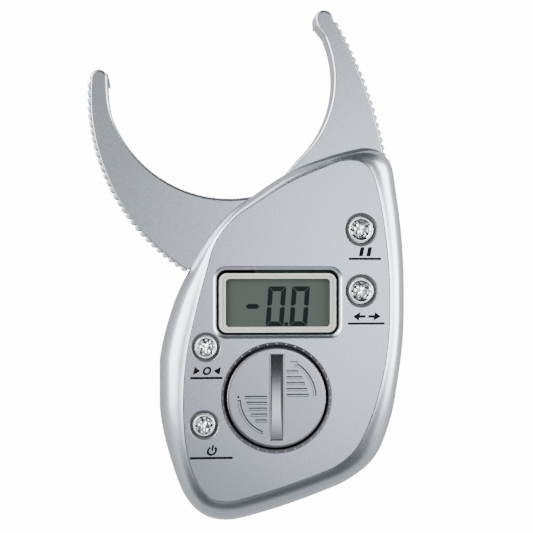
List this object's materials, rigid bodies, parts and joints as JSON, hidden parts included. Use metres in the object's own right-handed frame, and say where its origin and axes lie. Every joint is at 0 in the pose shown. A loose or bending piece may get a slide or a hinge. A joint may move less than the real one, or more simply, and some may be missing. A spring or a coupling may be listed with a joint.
{
  "type": "skinfold caliper",
  "caption": "Hand-held digital skinfold caliper: two curved jaws on a moulded case, a sprung moving jaw geared to an encoder, a display, jewel buttons and a coin-slot battery door",
  "frame": {"origin": "on the back face, on the axis of the jaw pivot", "axes": "+Y runs from the case towards the jaw tips, +Z comes out of the display, +X is to the right as the display is read"},
  "size_m": [0.1134, 0.1822, 0.025],
  "materials": {
    "front_cover": "silver metallic paint on moulded plastic",
    "rear_cover": "silver metallic paint on moulded plastic",
    "moving_jaw": "silver metallic paint on moulded plastic",
    "fixed_jaw": "silver metallic paint on moulded plastic",
    "pivot_pin": "turned or drawn steel",
    "encoder_shaft": "turned or drawn steel",
    "return_spring": "turned or drawn steel",
    "coin_cell": "turned or drawn steel",
    "housing_screw_1": "turned or drawn steel",
    "housing_screw_2": "turned or drawn steel",
    "housing_screw_3": "turned or drawn steel",
    "housing_screw_4": "turned or drawn steel",
    "housing_screw_5": "turned or drawn steel",
    "housing_screw_6": "turned or drawn steel",
    "board_screw_1": "turned or drawn steel",
    "board_screw_2": "turned or drawn steel",
    "board_screw_3": "turned or drawn steel",
    "board_screw_4": "turned or drawn steel",
    "sector_screw_1": "turned or drawn steel",
    "sector_screw_2": "turned or drawn steel",
    "sector_screw_3": "turned or drawn steel",
    "pivot_clip": "black oxide spring steel",
    "rear_thrust_washer": "moulded natural plastic",
    "front_thrust_washer": "moulded natural plastic",
    "sector_gear": "moulded natural plastic",
    "encoder_pinion": "moulded natural plastic",
    "battery_tray": "moulded natural plastic",
    "hold_button_cap": "moulded natural plastic",
    "unit_button_cap": "moulded natural plastic",
    "zero_button_cap": "moulded natural plastic",
    "power_button_cap": "moulded natural plastic",
    "encoder_reader": "black moulded plastic",
    "code_disc": "black moulded plastic",
    "controller_chip": "black moulded plastic",
    "hold_switch": "black moulded plastic",
    "unit_switch": "black moulded plastic",
    "zero_switch": "black moulded plastic",
    "power_switch": "black moulded plastic",
    "circuit_board": "green solder mask",
    "lcd_frame": "pale moulded plastic",
    "lcd_glass": "grey-green reflective display",
    "upper_zebra_strip": "layered conductive rubber",
    "lower_zebra_strip": "layered conductive rubber",
    "hold_button_crystal": "clear faceted moulding",
    "unit_button_crystal": "clear faceted moulding",
    "zero_button_crystal": "clear faceted moulding",
    "power_button_crystal": "clear faceted moulding",
    "battery_door": "pale grey moulded plastic",
    "positive_contact": "plated spring brass",
    "negative_contact": "plated spring brass"
  },
  "bodies": {
    "case": {"front_cover": "front_cover", "rear_cover": "rear_cover", "fixed_jaw": "fixed_jaw", "pivot_pin": "pivot_pin", "rear_thrust_washer": "rear_thrust_washer", "front_thrust_washer": "front_thrust_washer", "pivot_clip": "pivot_clip", "return_spring": "return_spring", "encoder_shaft": "encoder_shaft", "encoder_reader": "encoder_reader", "circuit_board": "circuit_board", "controller_chip": "controller_chip", "board_screw_1": "board_screw_1", "board_screw_2": "board_screw_2", "board_screw_3": "board_screw_3", "board_screw_4": "board_screw_4", "hold_switch": "hold_switch", "unit_switch": "unit_switch", "zero_switch": "zero_switch", "power_switch": "power_switch", "lcd_frame": "lcd_frame", "lcd_glass": "lcd_glass", "upper_zebra_strip": "upper_zebra_strip", "lower_zebra_strip": "lower_zebra_strip", "battery_tray": "battery_tray", "coin_cell": "coin_cell", "positive_contact": "positive_contact", "negative_contact": "negative_contact", "housing_screw_1": "housing_screw_1", "housing_screw_2": "housing_screw_2", "housing_screw_3": "housing_screw_3", "housing_screw_4": "housing_screw_4", "housing_screw_5": "housing_screw_5", "housing_screw_6": "housing_screw_6"},
    "moving_jaw": {"moving_jaw": "moving_jaw", "sector_gear": "sector_gear", "sector_screw_1": "sector_screw_1", "sector_screw_2": "sector_screw_2", "sector_screw_3": "sector_screw_3"},
    "encoder": {"encoder_pinion": "encoder_pinion", "code_disc": "code_disc"},
    "hold_button": {"hold_button_cap": "hold_button_cap", "hold_button_crystal": "hold_button_crystal"},
    "unit_button": {"unit_button_cap": "unit_button_cap", "unit_button_crystal": "unit_button_crystal"},
    "zero_button": {"zero_button_cap": "zero_button_cap", "zero_button_crystal": "zero_button_crystal"},
    "power_button": {"power_button_cap": "power_button_cap", "power_button_crystal": "power_button_crystal"},
    "battery_door": {"battery_door": "battery_door"}
  },
  "joints": [
    {"name": "jaw_pivot", "type": "hinge", "parent": "case", "child": "moving_jaw", "pos_m": [0, 0, 0.012], "axis": [0, 0, -1], "range_deg": [0, 57.8], "stiffness_Nm_per_rad": 0.1, "springref_deg": -28.65, "deforming": ["return_spring"]},
    {"name": "encoder_spin", "type": "hinge", "parent": "case", "child": "encoder", "pos_m": [0.0105, -0.01819, 0.005], "axis": [0, 0, -1], "range_deg": [-232, 0]},
    {"name": "hold_press", "type": "slide", "parent": "case", "child": "hold_button", "axis": [0, 0, -1], "range_m": [0, 0.0005], "stiffness_N_per_m": 400, "springref_m": -0.0015},
    {"name": "unit_press", "type": "slide", "parent": "case", "child": "unit_button", "axis": [0, 0, -1], "range_m": [0, 0.0005], "stiffness_N_per_m": 400, "springref_m": -0.0015},
    {"name": "zero_press", "type": "slide", "parent": "case", "child": "zero_button", "axis": [0, 0, -1], "range_m": [0, 0.0005], "stiffness_N_per_m": 400, "springref_m": -0.0015},
    {"name": "power_press", "type": "slide", "parent": "case", "child": "power_button", "axis": [0, 0, -1], "range_m": [0, 0.0005], "stiffness_N_per_m": 400, "springref_m": -0.0015},
    {"name": "battery_door_turn", "type": "hinge", "parent": "case", "child": "battery_door", "pos_m": [0.0031, -0.0588, 0.023], "axis": [0, 0, 1], "range_deg": [0, 60]}
  ],
  "couplings": [
    {"joint": "encoder_spin", "follows": "jaw_pivot", "ratio": -4}
  ]
}
